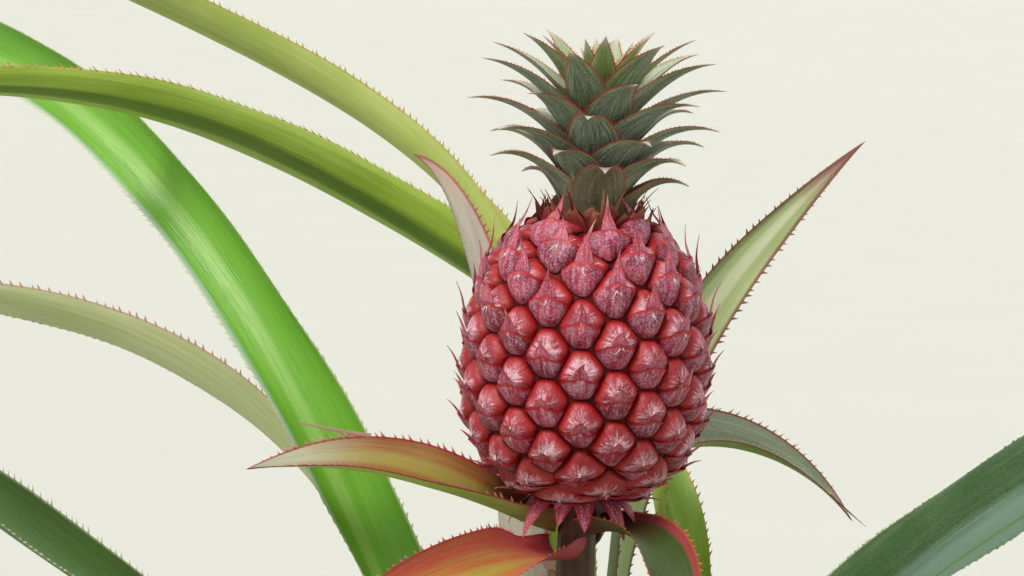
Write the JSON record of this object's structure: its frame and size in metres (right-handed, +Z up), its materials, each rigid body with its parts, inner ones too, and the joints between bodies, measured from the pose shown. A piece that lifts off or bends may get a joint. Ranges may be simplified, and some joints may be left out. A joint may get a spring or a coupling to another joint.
{
  "type": "pineapple plant",
  "caption": "Rooted fruiting plant: a rosette of long toothed leaves round a short stem, and one red fruit with its leafy crown on a stalk with leafy bracts.",
  "frame": {"origin": "middle of the flat cut at the foot of the stem, at ground level", "axes": "+Z up; +X to the right and +Y away from the viewer of the picture"},
  "size_m": [1.4313, 1.2708, 0.6129],
  "materials": {
    "stem": "rough, with leaf scars",
    "stalk": "matt green-brown skin",
    "leaf": "glossy yellow-green upper face, greyer streaked underside, pale toothed margins",
    "bract": "orange-red to yellow-green with crimson toothed margins",
    "fruit": "satin crimson with a pale scurf and dark grooves",
    "crown": "matt grey-green scurf with red toothed margins"
  },
  "bodies": {
    "root": {"stem": "stem", "stalk": "stalk", "bract_1": "bract", "bract_2": "bract", "bract_3": "bract", "bract_4": "bract", "bract_5": "bract", "bract_6": "bract", "bract_7": "bract", "bract_8": "bract", "bract_9": "bract", "fruit": "fruit", "crown": "crown", "leaf_01": "leaf", "leaf_02": "leaf", "leaf_03": "leaf", "leaf_04": "leaf", "leaf_05": "leaf", "leaf_06": "leaf", "leaf_07": "leaf", "leaf_08": "leaf", "leaf_09": "leaf", "leaf_10": "leaf", "leaf_11": "leaf", "leaf_12": "leaf", "leaf_13": "leaf", "leaf_14": "leaf", "leaf_15": "leaf", "leaf_16": "leaf", "leaf_17": "leaf", "leaf_19": "leaf", "leaf_20": "leaf", "leaf_21": "leaf", "leaf_22": "leaf", "leaf_23": "leaf", "leaf_24": "leaf", "leaf_26": "leaf", "leaf_27": "leaf", "leaf_28": "leaf", "leaf_29": "leaf", "leaf_30": "leaf"}
  },
  "joints": []
}
